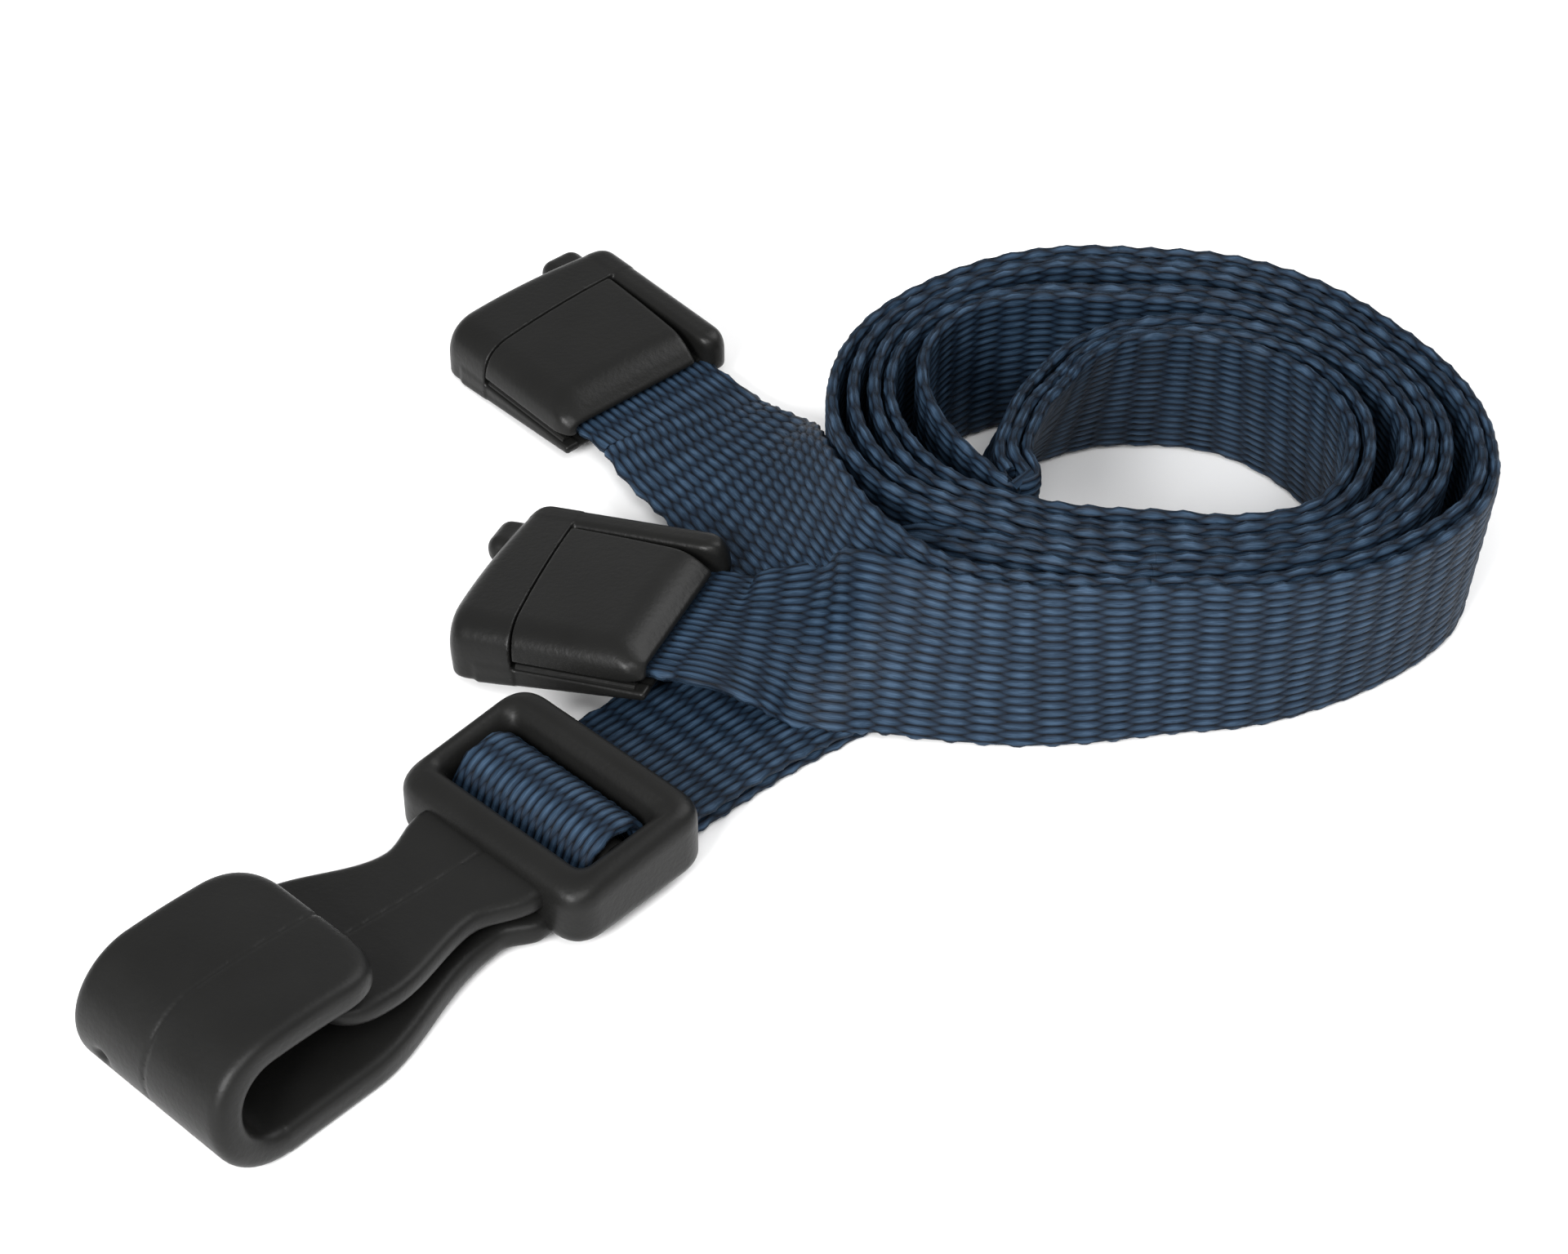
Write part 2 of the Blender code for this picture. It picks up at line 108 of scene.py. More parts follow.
# How much further out the lower edge stands: outermost ply, ply 4 and the inner three
PLY_LEANS = {
    -140: (2.5, 0.8, 0.8),
    -120: (2.0, 1.0, 0.6),
    -105: (1.4, 0.7, 0.2),
    -90: (0.7, 0.3, 0.0),
    -60: (-0.3, -0.3, -0.3),
    -45: (-0.8, -0.6, -0.5),
    -20: (-0.9, -0.7, -0.5),
    0: (-0.7, -0.4, 0.0),
    30: (-0.3, 0.3, 0.7),
    60: (0.0, 1.0, 1.8),
    90: (0.0, 1.3, 2.0),
    120: (0.0, 0.8, 3.0),
    135: (0.0, 0.4, 3.8),
    150: (0.0, 0.3, 3.6),
    180: (0.0, 0.3, 2.2),
    200: (0.3, 0.3, 1.0),
    220: (0.8, 0.8, 0.8),
}

# The strands between end pieces and coil: (lower or near edge, upper or far edge)
STRAND_A = (((-8.2, 9.9, 1.5), (-1.3, 16.6, 2.6)), ((-5.2, 6.6, 1.6), (0.3, 12.6, 4.2)),
            ((-2.4, 3.2, 1.9), (1.0, 7.8, 6.4)), ((0.2, -0.9, 2.5), (2.3, 2.4, 8.2)),
            ((2.6, -4.6, 2.3), (4.5, -2.4, 9.3)), ((6.2, -7.4, 1.0), (8.0, -5.4, 9.8)),
            ((11.0, -8.3, 0.2), (12.0, -6.5, 9.9)))
STRAND_B = (((0.3, -9.3, 2.2), (1.5, -0.9, 5.2)),
            ((3.9, -9.1, 1.1), (4.7, -4.5, 9.0)), ((8.3, -9.3, 0.3), (8.8, -6.6, 9.7)),
            ((12.5, -9.5, 0.0), (12.7, -7.5, 9.8)))
STRAP = (((-2.2, -14.2, 0.4), (-9.0, -7.0, 0.4)), ((0.2, -12.1, 0.4), (-6.0, -4.4, 0.8)),
         ((2.7, -9.9, 0.3), (-2.4, -2.0, 1.6)), ((5.6, -7.4, 0.28), (2.4, 0.0, 3.6)),
         ((7.8, -6.8, 0.32), (5.8, -1.8, 7.8)), ((10.0, -6.4, 0.1), (9.2, -3.8, 9.5)))
UPPER_PLY, LOWER_PLY = 1.25, 0.42  # heights of the strap's two plies where it lies flat
UPRIGHT = 9.0  # height of the strap's upper edge from which it counts as standing

# Slack of the plies in the coil
RADIUS_WOBBLE = 0.05
LIFT, LIFT_WOBBLE = 0.12, 0.12


def to_world(points):
    return (np.asarray(points, float) - ORIGIN) * MM


def place_matrix(place):
    position, heading, pitch, roll = place
    turn = Matrix.Rotation(math.radians(heading), 4, "Z")
    turn = turn @ Matrix.Rotation(math.radians(-pitch), 4, "Y")
    turn = turn @ Matrix.Rotation(math.radians(roll), 4, "X")
    return Matrix.Translation(position) @ turn


def local_section(place, along, height, middle=0.0):
    """The near and far edge of the ribbon where it lies square in an end piece."""
    matrix = place_matrix(place)
    near = matrix @ Vector((along, middle + WIDTH / 2, height))
    far = matrix @ Vector((along, middle - WIDTH / 2, height))
    return tuple(near), tuple(far)


# Ribbon routes: lists of sections, each a pair of edge points

def rows_at(table, angles):
    """The table's columns at the given angles, straight between its stops."""
    stops = np.array(sorted(table))
    values = np.array([table[stop] for stop in stops], float)
    return np.stack([np.interp(angles, stops, column) for column in values.T], axis=1)


def coil_course(ply):
    """Angles, upper radii and leans of one ply over both its turns, with the corners taken off."""
    angles = np.arange(ENTRY, FOLD + 8.0, 2.0)
    second = angles >= TURN_END
    turned = np.where(second, angles - 360.0, angles)
    radii = rows_at(PLY_RADII, turned)
    leans = rows_at(PLY_LEANS, turned)
    index = np.where(second, ply + 4, ply)
    upper = radii[np.arange(len(angles)), index]
    share = np.clip(index / 4.0, 0, 1)
    lean = np.where(index > 4, leans[:, 2], leans[:, 0] * (1 - share) + leans[:, 1] * share)
    window = np.hanning(13)
    window /= window.sum()
    margin = len(window) // 2
    upper, lean = (np.convolve(np.pad(row, margin, mode="edge"), window, mode="valid")
                   for row in (upper, lean))
    return angles, upper, lean


def coil_sections(ply, start, end, step=8.0):
    """Sections of one ply between two angles; it runs backwards if end is before start."""
    angles, upper, lean = coil_course(ply)
    count = max(2, int(round(abs(end - start) / step)) + 1)
    sections = []
    for angle in np.linspace(start, end, count):
        top = np.interp(angle, angles, upper)
        out = np.interp(angle, angles, lean)
        turn = math.radians(angle)
        top += RADIUS_WOBBLE * math.sin(turn * 5.0 + ply * 2.1)
        lift = LIFT + LIFT_WOBBLE * math.sin(turn * 1.7 + ply * 1.9)
        direction = np.array((math.cos(turn), math.sin(turn)))
        height = math.sqrt(WIDTH ** 2 - out ** 2)
        lower_point = (*(COIL_MIDDLE + direction * (top + out)), lift)
        upper_point = (*(COIL_MIDDLE + direction * top), lift + height)
        sections.append((lower_point, upper_point))
    return sections


def fold_section(first_ply, second_ply, angle, share):
    """A section that share of the way from one ply's course to another's."""
    first = coil_sections(first_ply, angle, angle + 1.0)[0]
    second = coil_sections(second_ply, angle, angle + 1.0)[0]
    return tuple(tuple(np.array(a) * (1 - share) + np.array(b) * share)
                 for a, b in zip(first, second))


def fold_sections(first_ply, second_ply, reach):
    """The tip of the fold from one ply into another, reach degrees past FOLD."""
    return [fold_section(first_ply, second_ply, FOLD + reach * 0.7, 0.12),
            fold_section(first_ply, second_ply, FOLD + reach, 0.5),
            fold_section(first_ply, second_ply, FOLD + reach * 0.7, 0.88)]


def raised(sections, height):
    """Strap sections with the ply's own height added where the strap lies flat."""
    lifted = []
    for lower, upper in sections:
        flat = max(0.0, 1.0 - upper[2] / UPRIGHT)
        lifted.append(((lower[0], lower[1], lower[2] + height * flat),
                       (upper[0], upper[1], upper[2] + height * flat)))
    return lifted


def half_sections(place):
    """From the cut end under the lid to just outside the connector half."""
    return [local_section(place, along, RIBBON_IN_HALF) for along in (6.0, 3.0, 0.0, -1.2, -2.4)]


def shifted(sections, inward):
    """Strap sections moved towards the coil's middle, for the ply on that side."""
    moved = []
    for lower, upper in sections:
        share = min(1.0, upper[2] / UPRIGHT) * inward
        moved.append(((lower[0] + share * 0.4, lower[1] + share, lower[2]),
                      (upper[0] + share * 0.4, upper[1] + share, upper[2])))
    return moved


def loop_sections():
    """Under the far bar, up over the crossbar, round it and back, seen from the strap."""
    route = [(-LOOP_LENGTH, UPPER_PLY), (-4.2, UPPER_PLY), (-3.1, 1.4), (-2.4, 1.95), (-2.1, 2.8),
             (-1.85, 3.65), (-1.15, 4.22), (-0.1, 4.38), (0.85, 4.18), (1.55, 3.55), (1.85, 2.55),
             (1.55, 1.6), (0.8, 0.95), (-0.5, 0.6), (-2.6, LOWER_PLY), (-4.4, LOWER_PLY),
             (-LOOP_LENGTH, LOWER_PLY)]
    return [local_section(HOOK_PLACE, u, w, WINDOW_OFFSET) for u, w in route]


def gaps(points):
    """Distances from each point to the next."""
    return np.linalg.norm(np.diff(points, axis=0), axis=1)


def running_sum(values):
    return np.concatenate([[0], np.cumsum(values)])


def sampled(sections, step):
    """A smooth route through the sections: length so far, centre, across and normal vectors,
    one row of each for every step along it."""
    pairs = np.array(sections, float)
    middle = pairs.mean(axis=1)
    across = pairs[:, 1] - pairs[:, 0]
    across /= np.linalg.norm(across, axis=1)[:, None]
    knots = running_sum(np.sqrt(gaps(middle)))
    fine = np.linspace(0, knots[-1], 40 * len(knots))
    curve = catmull(knots, np.concatenate([middle, across], axis=1), fine)
    lengths = running_sum(gaps(curve[:, :3]))
    count = max(2, int(round(lengths[-1] / step)))
    at = np.linspace(0, lengths[-1], count + 1)
    resampled = np.stack([np.interp(at, lengths, column) for column in curve.T], axis=1)
    centre, across = resampled[:, :3], resampled[:, 3:]
    ahead = np.gradient(centre, axis=0)
    ahead /= np.linalg.norm(ahead, axis=1)[:, None]
    across -= ahead * (across * ahead).sum(axis=1)[:, None]
    across /= np.linalg.norm(across, axis=1)[:, None]
    return at, centre, across, np.cross(ahead, across)


def catmull(knots, values, at):
    """Catmull-Rom with uneven knots, as cubic Hermite pieces."""
    slopes = np.gradient(values, knots, axis=0)
    place = np.clip(np.searchsorted(knots, at, side="right") - 1, 0, len(knots) - 2)
    span = (knots[place + 1] - knots[place])[:, None]
    t = (at - knots[place])[:, None] / span
    a, b = values[place], values[place + 1]
    p, q = slopes[place] * span, slopes[place + 1] * span
    return ((2 * t ** 3 - 3 * t ** 2 + 1) * a + (t ** 3 - 2 * t ** 2 + t) * p
            + (3 * t ** 2 - 2 * t ** 3) * b + (t ** 3 - t ** 2) * q)


# Weave

def weave_height(along, across, side):
    """How far the cloth stands out: spindle-shaped floats that lie half a row apart in alternate
    columns, with their ends between the next column's floats."""
    column = np.floor(along / RIB_PITCH)
    height = np.zeros_like(along)
    for step in (-1, 0, 1):
        own = column + step
        reach = (along / RIB_PITCH - own - 0.5) / FLOAT_REACH
        row = across / ROW_PITCH + 0.5 * (own % 2) + (BACK_SHIFT if side < 0 else 0.0)
        spread = (row - np.round(row)) / FLOAT_SPREAD
        # No two floats stand out alike
        firmness = 0.86 + 0.14 * np.sin(own * 12.9898 + np.round(row) * 78.233)
        rise = np.sqrt(np.clip(1 - reach ** 2 - spread ** 2, 0, 1))
        height = np.maximum(height, firmness * rise)
    return FLOAT_HEIGHT * height


def stitch_height(along, turn):
    """The loops that bind the selvedge, slanted like a rope's strands."""
    return STITCH_HEIGHT * np.abs(np.sin(math.pi * (along / LOOP_PITCH + turn))) ** 0.7


def across_samples(per_row):
    """Positions across the ribbon from edge to edge, closer together at the selvedges."""
    inner = WIDTH / 2 - SELVEDGE
    middle = np.linspace(-inner, inner, int(2 * inner / ROW_PITCH * per_row) + 1)
    edge = inner + SELVEDGE * np.array((0.45, 0.8, 1.0))
    return np.concatenate([-edge[::-1], middle, edge])


def ribbon_rings(along, places, centre, across, normal):
    """A ring of points round the ribbon at each place along it: the front's, then the back's."""
    s, v = np.meshgrid(along, places, indexing="ij")
    edge = np.clip((np.abs(v) - (WIDTH / 2 - SELVEDGE)) / SELVEDGE, 0, 1)
    rounding = np.sqrt(np.clip(1.0 - EDGE_THINNING * edge ** 2, 0, 1))
    scallop = SCALLOP * np.abs(np.sin(math.pi * s / RIB_PITCH))
    faces = []
    for side in (1, -1):
        turn = 0.5 * edge if side > 0 else 1.0 - 0.5 * edge
        stitch = stitch_height(s, turn * np.sign(v)) * np.sqrt(edge)
        cloth = weave_height(s, v, side) * (1 - edge)
        stand = (BODY_THICKNESS / 2 + cloth + stitch) * rounding
        wide = v + np.sign(v) * (stitch - STITCH_HEIGHT + scallop - SCALLOP) * edge
        faces.append(centre[:, None] + across[:, None] * wide[..., None]
                     + side * normal[:, None] * stand[..., None])
    return np.concatenate([faces[0], faces[1][:, ::-1]], axis=1)


def ribbon_quads(rows, columns):
    """Quads between neighbouring rings, and over the two cut ends."""
    width = 2 * columns
    i, j = np.meshgrid(np.arange(rows - 1), np.arange(width), indexing="ij")
    k = (j + 1) % width
    first, second = i * width, (i + 1) * width
    around = np.stack([first + j, first + k, second + k, second + j], axis=-1)
    j = np.arange(columns - 1)
    start = np.stack([j + 1, j, width - 1 - j, width - 2 - j], axis=-1)
    end = np.stack([j, j + 1, width - 2 - j, width - 1 - j], axis=-1) + (rows - 1) * width
    return np.concatenate([around.reshape(-1, 4), start, end])


def lay_weave(mesh, along, places):
    """The UV layer that the cloth reads: places along and across the ribbon, in rib pitches."""
    ring = np.concatenate([places, (places + BACK_OFFSET)[::-1]])
    flat = np.stack([np.repeat(along, len(ring)), np.tile(ring, len(along))], axis=1) / RIB_PITCH
    corner = np.zeros(len(mesh.loops), np.int32)
    mesh.loops.foreach_get("vertex_index", corner)
    layer = mesh.uv_layers.new(name="weave")
    layer.uv.foreach_set("vector", flat[corner].astype(np.float32).reshape(-1))


def ribbon(name, sections, per_rib, per_row, phase):
    """One stretch of ribbon, woven on both faces, as a closed skin, and its length. phase is how
    much ribbon comes before it, so that the weave runs on from there."""
    along, centre, across, normal = sampled(sections, RIB_PITCH / per_rib)
    length = along[-1]
    along = along + phase
    places = across_samples(per_row)
    rings = ribbon_rings(along, places, centre, across, normal)
    mesh = mesh_of(name, to_world(rings.reshape(-1, 3)), ribbon_quads(len(along), len(places)))
    lay_weave(mesh, along, places)
    mesh.shade_smooth()
    mesh.set_sharp_from_angle(angle=math.radians(CUT_ANGLE))
    piece = bpy.data.objects.new(name, mesh)
    bpy.context.scene.collection.objects.link(piece)
    mesh.materials.append(RIBBON_CLOTH)
    return piece, length


def mesh_of(name, points, faces):
    mesh = bpy.data.meshes.new(name)
    mesh.vertices.add(len(points))
    mesh.vertices.foreach_set("co", points.astype(np.float32).reshape(-1))
    mesh.loops.add(faces.size)
    mesh.loops.foreach_set("vertex_index", faces.astype(np.int32).reshape(-1))
    mesh.polygons.add(len(faces))
    mesh.polygons.foreach_set("loop_start", np.arange(0, faces.size, 4, dtype=np.int32))
    mesh.update(calc_edges=True)
    mesh.validate()
    return mesh


# Moulded pieces: each is where a distance function is negative, in its end piece's own frame

def soft_max(a, b, radius):
    """Where both are negative, with the edge between them rounded to about that radius."""
    reach = 1.17 * radius
    share = np.clip(0.5 + 0.5 * (a - b) / reach, 0, 1)
    return b + (a - b) * share + reach * share * (1 - share)


def soft_min(a, b, radius):
    """Where either is negative, with a fillet between them."""
    return -soft_max(-a, -b, radius)


def rounded_box(u, v, w, low, high, radius):
    past = [np.abs(p - (a + b) / 2) - (b - a) / 2 + radius
            for p, a, b in zip((u, v, w), low, high)]
    outside = np.sqrt(sum(np.maximum(d, 0) ** 2 for d in past))
    inside = np.minimum(np.maximum(np.maximum(past[0], past[1]), past[2]), 0)
    return outside + inside - radius


def skin(distance, low, high, cell):
    """Points and quads of the surface: a point in each cell it crosses, moved onto it. The grid
    starts at an odd fraction of a cell, so that no flat face lies in one of its planes."""
    axes = [np.arange(a - 1.63 * cell, b + 2.5 * cell, cell) for a, b in zip(low, high)]
    inside = distance(*np.meshgrid(*axes, indexing="ij")) < 0
    m, n, o = (size - 1 for size in inside.shape)
    count = sum(inside[i:m + i, j:n + j, k:o + k].astype(int)
                for i in (0, 1) for j in (0, 1) for k in (0, 1))
    crossed = (count > 0) & (count < 8)
    index = np.full(crossed.shape, -1)
    index[crossed] = np.arange(crossed.sum())
    points = np.argwhere(crossed) * cell + cell / 2 + np.array([axis[0] for axis in axes])
    faces = []
    for axis in range(3):
        first = np.moveaxis(inside, axis, 0)
        cells = np.moveaxis(index, axis, 0)
        i, j, k = np.argwhere(first[:-1] != first[1:]).T
        quad = np.stack([cells[i, j - 1, k - 1], cells[i, j, k - 1], cells[i, j, k],
                         cells[i, j - 1, k]], axis=1)
        outward = first[i, j, k] if axis != 1 else ~first[i, j, k]
        faces.append(np.where(outward[:, None], quad, quad[:, ::-1]))
    return settled(points, distance, cell), np.concatenate(faces)


def settled(points, distance, cell):
    """The points after a few short steps down or up the slope of the distance, to its zero."""
    probe = 0.3 * cell
    longest = 0.4 * cell
    for _ in range(5):
        value = distance(*points.T)
        rises = [distance(*(points + step).T) - distance(*(points - step).T)
                 for step in np.eye(3) * probe]
        slope = np.stack(rises, axis=1) / (2 * probe)
        move = value[:, None] * slope / np.maximum((slope ** 2).sum(axis=1), 0.2)[:, None]
        points = points - np.clip(move, -longest, longest)
    return points


def moulded(name, surface, place, material):
    points, faces = surface
    turned = points @ np.array(place_matrix(place).to_3x3()).T + np.array(place[0])
    mesh = mesh_of(name, to_world(turned), faces)
    mesh.shade_smooth()
    piece = bpy.data.objects.new(name, mesh)
    bpy.context.scene.collection.objects.link(piece)
    mesh.materials.append(material)
    return piece


# Connector halves: u from the ribbon's end to the free end, v towards the hinge, w up

HALF_LENGTH, HALF_SIDE, HALF_HEIGHT = 12.0, 6.15, 3.8
CROWN, END_BOW = 0.14, 0.3  # how much lower top and free end are at the sides
HINGE_ROUND, RAIL_ROUND, END_ROUND, FOOT_ROUND = 1.7, 0.8, 1.0, 0.35
PARTING, PARTING_SLANT, PARTING_BOW = 8.7, 1.0, 0.5
LID_START, LID_FAR_EDGE = 0.1, -4.2
LID_GAP, LID_GAP_GROWTH = 0.05, 0.5  # between lid and rail: at the block, and what it grows by
LID_UNDERSIDE = 2.45
SHOULDER_HEIGHT, SHOULDER_RISE, SHOULDER_RUN = 2.62, 0.78, 0.62  # slope down to the ribbon
CORNER_CUT, DIAGONAL, SHOULDER_ROUND = 0.45, 0.7, 0.6
LID_EDGE_ROUND = 0.3
SKIRT_INSIDE = 5.25
SKIRT_FOOT = 1.9  # high enough to swing over the lip
FLOOR_RISE = 0.9  # how far the underside has risen at the ribbon's end
FLOOR_THICKNESS, FLOOR_LENGTH = 0.42, 10.0
FLOOR_EDGE = -5.9  # inside the rail
LIP_TOP = 1.38  # just over the middle of the hinge bead
FLOOR_CORNER, LIP_FOOT_ROUND = 1.6, 0.3
RAIL_END, RAIL_END_ROUND = -0.3, 1.3
RAIL_GAP, RAIL_EDGE_ROUND = 0.1, 0.5
FINE_FILLET, SMALL_FILLET, FILLET = 0.1, 0.15, 0.2  # where the base's pieces meet
SEAM = 0.06
SEAM_ROUND, EDGE_ROUND = 0.06, 0.12
# Boxes: low corner, high corner, radius of the edges
SOCKET = (8.6, 1.4, 0.95), (14.0, 5.0, 2.85), 0.3
LATCH = (0.6, -5.0, 1.0), (2.2, LID_FAR_EDGE + LID_GAP, 2.2), 0.3
PRONG = (10.0, -5.1, 1.3), (13.45, -2.3, 3.05), 0.8
FLOOR = (0.0, FLOOR_EDGE, 0.0), (FLOOR_LENGTH, HALF_SIDE, FLOOR_THICKNESS), 0.2
LIP = (0.0, SKIRT_INSIDE, 0.0), (FLOOR_LENGTH, HALF_SIDE, LIP_TOP), 0.15


def half_envelope(u, v, w):
    """The pillow shape that block, rail and lid share."""
    top = w - (HALF_HEIGHT - CROWN * (v / HALF_SIDE) ** 2)
    free_end = u - (HALF_LENGTH - END_BOW * (v / HALF_SIDE) ** 2)
    shape = soft_max(top, v - HALF_SIDE, HINGE_ROUND)
    shape = soft_max(shape, -v - HALF_SIDE, RAIL_ROUND)
    shape = soft_max(shape, free_end, END_ROUND)
    return soft_max(shape, underside(u) - w, FOOT_ROUND)


def underside(u):
    return FLOOR_RISE * (1 - u / HALF_LENGTH)


def parting(v):
    """Where block and lid meet: oblique, and bowed towards the free end."""
    across = (v - LID_FAR_EDGE) / (HALF_SIDE - LID_FAR_EDGE)
    return PARTING - PARTING_SLANT * across + PARTING_BOW * across * (1 - across)


def half_lid(u, v, w):
    shape = half_envelope(u, v, w)
    shoulder = (w - SHOULDER_HEIGHT) * SHOULDER_RISE - u * SHOULDER_RUN
    corner = (v - HALF_SIDE) * DIAGONAL - (u - CORNER_CUT) * DIAGONAL
    shape = soft_max(soft_max(shape, shoulder, SHOULDER_ROUND), corner, SHOULDER_ROUND)
    shape = soft_max(shape, LID_START - u, EDGE_ROUND)
    shape = soft_max(shape, u - parting(v) + SEAM, SEAM_ROUND)
    far_edge = LID_FAR_EDGE + LID_GAP + LID_GAP_GROWTH * np.clip(1 - u / PARTING, 0, 1) ** 1.5
    shape = soft_max(shape, far_edge - v, LID_EDGE_ROUND)
    skirt = soft_max(SKIRT_INSIDE - v, SKIRT_FOOT - w, EDGE_ROUND)
    return soft_max(shape, soft_min(LID_UNDERSIDE - w, skirt, LID_EDGE_ROUND), EDGE_ROUND)


def half_base(u, v, w):
    envelope = half_envelope(u, v, w)
    block = soft_max(envelope, parting(v) + SEAM - u, SEAM_ROUND)
    block = soft_max(block, -rounded_box(u, v, w, *SOCKET), SMALL_FILLET)
    floor = rounded_box(u, v, w - underside(u), *FLOOR)
    floor = soft_max(floor, soft_max(-u, FLOOR_EDGE - v, FLOOR_CORNER), FINE_FILLET)
    lip = soft_max(rounded_box(u, v, w, *LIP), underside(u) - w, LIP_FOOT_ROUND)
    floor = soft_min(floor, lip, SMALL_FILLET)
    rail = soft_max(envelope, v - LID_FAR_EDGE + RAIL_GAP, RAIL_EDGE_ROUND)
    rail = soft_max(rail, RAIL_END - u, RAIL_END_ROUND)
    rail = np.minimum(rail, rounded_box(u, v, w, *LATCH))
    body = soft_min(soft_min(block, floor, FILLET), rail, FINE_FILLET)
    return soft_min(body, rounded_box(u, v, w, *PRONG), FILLET)


# Hook: u from the strap to the round end, v across, w up

FRAME_SIDE, FRAME_REACH, FRAME_HEIGHT, FRAME_FOOT = 6.8, 4.7, 4.8, 0.8
FRAME_SLOPE = 0.06  # the top falls towards the J
FRAME_CORNER, FRAME_TOP_ROUND, FRAME_FOOT_ROUND = 1.5, 1.0, 0.8
WINDOW_SIDE, WINDOW_REACH, WINDOW_CORNER, WINDOW_ROUND = 5.2, 2.5, 0.7, 0.55
FLARE, FLARE_START = 0.5, 3.4  # the window widens above this height
PASSAGE_TOP = 2.45  # under the bar on the strap's side
PASSAGE_CORNER, PASSAGE_ROUND = 0.2, 0.3
STRIP, HOOK_SIDE, HOOK_HEIGHT = 1.8, 5.6, 7.8
STRIP_START, WAIST, WAIST_RUN = 4.2, 3.7, (8.0, 17.0)  # it widens to the J over this run
ROOT_FLARE, ROOT_RUN = 1.0, (-7.0, -5.0)  # wider again where it joins the frame
STRIP_RISE, RISE_RUN = 0.6, (4.5, 15.0)
LIFT_SHARE, THINNING_SHARE = 0.65, 0.3  # of the rise, for the strip's middle and thickness
NEAR_SIDE_TAPER, TAPER_HEIGHTS = 0.5, (2.0, 7.0)
HOOK_END = 26.3
BEND_RADIUS = (HOOK_HEIGHT - STRIP) / 2
BEND_START = HOOK_END - STRIP / 2 - BEND_RADIUS
HOOK_TIP, TIP_SAG = 15.0, 0.6
TIP_CORNER, STRIP_ROUND, BACK_ROUND = 2.4, 0.7, 0.6
TONGUE_START, TONGUE_END, TONGUE_THICKNESS = 4.4, 18.2, 1.3
TONGUE_ROOT = 3.1  # height of its middle at the frame
TONGUE_GAP = 0.3  # under the tip of the J
TONGUE_BEND, TONGUE_WAIST, TONGUE_WIDEST = 5.0, 8.3, 14.9  # places along it
TONGUE_SIDE, TONGUE_NARROWING, TONGUE_WIDENING = 4.4, 1.0, 2.0
TONGUE_TAPER, TONGUE_TAPER_RUN, TONGUE_ROUND = 0.6, (9.0, 15.0), 0.55
DIMPLE_PLACE, DIMPLE_DEPTH, DIMPLE_SIZE = (-3.4, 3.2), 0.4, 0.4
HOOK_MOULD_LINE, TONGUE_MOULD_LINE = -0.07, 0.055
MOULD_LINE_DEPTH, MOULD_LINE_WIDTH = 0.06, 0.12


def eased(value, start, end):
    """Smoothly from 0 at start to 1 at end."""
    share = np.clip((value - start) / (end - start), 0, 1)
    return share * share * (3 - 2 * share)


def hook_frame(u, v, w):
    plan = soft_max(np.abs(u) - FRAME_REACH, np.abs(v) - FRAME_SIDE, FRAME_CORNER)
    ring = soft_max(plan, w - FRAME_HEIGHT + FRAME_SLOPE * u, FRAME_TOP_ROUND)
    ring = soft_max(ring, FRAME_FOOT - w, FRAME_FOOT_ROUND)
    flare = FLARE * np.clip((w - FLARE_START) / (FRAME_HEIGHT - FLARE_START), 0, 1) ** 2
    side = np.abs(v - WINDOW_OFFSET) - WINDOW_SIDE
    window = soft_max(np.abs(u) - WINDOW_REACH - flare, side - flare, WINDOW_CORNER)
    passage = soft_max(soft_max(u, w - PASSAGE_TOP, PASSAGE_CORNER), side, PASSAGE_ROUND)
    return soft_max(soft_max(ring, -window, WINDOW_ROUND), -passage, PASSAGE_ROUND)


def mould_line(v, middle):
    return MOULD_LINE_DEPTH * np.exp(-((v - middle) / MOULD_LINE_WIDTH) ** 2)


def hook_strip(u, v, w):
    """The back strip, the round end and the top of the J."""
    level = STRIP / 2
    near_side = v + NEAR_SIDE_TAPER * eased(w, *TAPER_HEIGHTS) * (v > 0)
    rise = STRIP_RISE * (1 - eased(u, *RISE_RUN))
    half_width = WAIST + (HOOK_SIDE - WAIST) * eased(u, *WAIST_RUN)
    half_width = half_width + ROOT_FLARE * eased(-u, *ROOT_RUN)
    half_thickness = STRIP / 2 - THINNING_SHARE * rise
    flat = np.abs(w - level - LIFT_SHARE * rise) - half_thickness
    back = soft_max(flat, np.abs(v) - half_width, BACK_ROUND)
    back = np.maximum(back, STRIP_START - u)
    radial = np.hypot(u - BEND_START, w - level - BEND_RADIUS) - BEND_RADIUS
    from_dimple = (v - DIMPLE_PLACE[0]) ** 2 + (w - DIMPLE_PLACE[1]) ** 2
    dimple = DIMPLE_DEPTH * np.exp(-from_dimple / DIMPLE_SIZE ** 2) * (radial > 0)
    round_end = soft_max(np.abs(radial) - STRIP / 2, np.abs(near_side) - HOOK_SIDE, STRIP_ROUND)
    sag = TIP_SAG * np.clip((BEND_START - u) / (BEND_START - HOOK_TIP), 0, 1.2) ** 2
    thick = np.abs(w - level - 2 * BEND_RADIUS + sag) - STRIP / 2
    outline = soft_max(np.abs(near_side) - HOOK_SIDE, HOOK_TIP - u, TIP_CORNER)
    top = soft_max(thick, outline, STRIP_ROUND)
    whole = np.where(u > BEND_START, round_end + dimple, np.minimum(back, top))
    return whole + mould_line(v, HOOK_MOULD_LINE) * (w > TAPER_HEIGHTS[0]) * (radial > 0)


